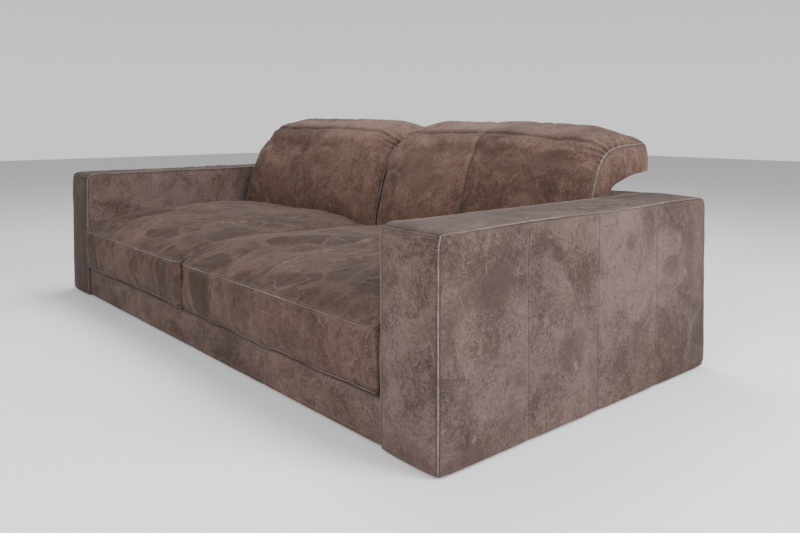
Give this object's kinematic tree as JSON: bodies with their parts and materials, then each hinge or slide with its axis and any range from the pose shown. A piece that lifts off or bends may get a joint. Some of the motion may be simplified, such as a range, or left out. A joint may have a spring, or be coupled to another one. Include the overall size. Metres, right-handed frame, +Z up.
{
  "type": "leather sofa",
  "caption": "Wide low sofa in worn brushed leather, with box arms, crowned seat cushions, leaning back cushions and tilting headrests folded back.",
  "frame": {"origin": "on the floor, under the middle of the sofa", "axes": "+X along the seat, to the right as seen from the front; -Y is the front; +Z up"},
  "size_m": [2.6, 1.28, 0.8225],
  "materials": {
    "worn_nubuck": "brushed, mottled, worn nap",
    "plywood": "raw",
    "foam": "cut polyurethane foam",
    "webbing": "woven elastic",
    "dust_cloth": "non-woven, matt",
    "plated_steel": "zinc plated",
    "black_plastic": "moulded, satin"
  },
  "bodies": {
    "sofa_body": {"arm_cover_left": "worn_nubuck", "arm_inner_panel_left": "plywood", "arm_outer_panel_left": "plywood", "arm_top_board_left": "plywood", "arm_front_board_left": "plywood", "arm_rear_board_left": "plywood", "arm_cover_right": "worn_nubuck", "arm_inner_panel_right": "plywood", "arm_outer_panel_right": "plywood", "arm_top_board_right": "plywood", "arm_front_board_right": "plywood", "arm_rear_board_right": "plywood", "back_cover": "worn_nubuck", "back_top_board": "plywood", "back_front_panel": "plywood", "back_rear_panel": "plywood", "back_rib_left": "plywood", "back_rib_centre": "plywood", "back_rib_right": "plywood", "base_front_cover": "worn_nubuck", "base_front_board": "plywood", "base_rear_board": "plywood", "base_side_board_left": "plywood", "base_side_board_right": "plywood", "base_centre_board": "plywood", "dust_cover": "dust_cloth", "webbing_left_1": "webbing", "webbing_left_2": "webbing", "webbing_left_3": "webbing", "webbing_right_1": "webbing", "webbing_right_2": "webbing", "webbing_right_3": "webbing", "glide_front_left": "black_plastic", "glide_front_right": "black_plastic", "glide_rear_left": "black_plastic", "glide_rear_right": "black_plastic", "centre_foot_front": "black_plastic", "centre_foot_rear": "black_plastic", "seat_cover_left": "worn_nubuck", "seat_foam_left": "foam", "back_cushion_cover_left": "worn_nubuck", "back_cushion_foam_left": "foam", "ratchet_base_left_inner": "plated_steel", "ratchet_base_left_outer": "plated_steel", "seat_cover_right": "worn_nubuck", "seat_foam_right": "foam", "back_cushion_cover_right": "worn_nubuck", "back_cushion_foam_right": "foam", "ratchet_base_right_inner": "plated_steel", "ratchet_base_right_outer": "plated_steel"},
    "headrest_left": {"headrest_cover_left": "worn_nubuck", "headrest_board_left": "plywood", "headrest_foam_left": "foam", "ratchet_arm_left_inner": "plated_steel", "ratchet_arm_left_outer": "plated_steel"},
    "headrest_right": {"headrest_cover_right": "worn_nubuck", "headrest_board_right": "plywood", "headrest_foam_right": "foam", "ratchet_arm_right_inner": "plated_steel", "ratchet_arm_right_outer": "plated_steel"}
  },
  "joints": [
    {"name": "headrest_left_tilt", "type": "hinge", "parent": "sofa_body", "child": "headrest_left", "pos_m": [-0.541, 0.44, 0.65], "axis": [1, 0, 0], "range_deg": [0, 60]},
    {"name": "headrest_right_tilt", "type": "hinge", "parent": "sofa_body", "child": "headrest_right", "pos_m": [0.541, 0.44, 0.65], "axis": [1, 0, 0], "range_deg": [0, 60]}
  ]
}
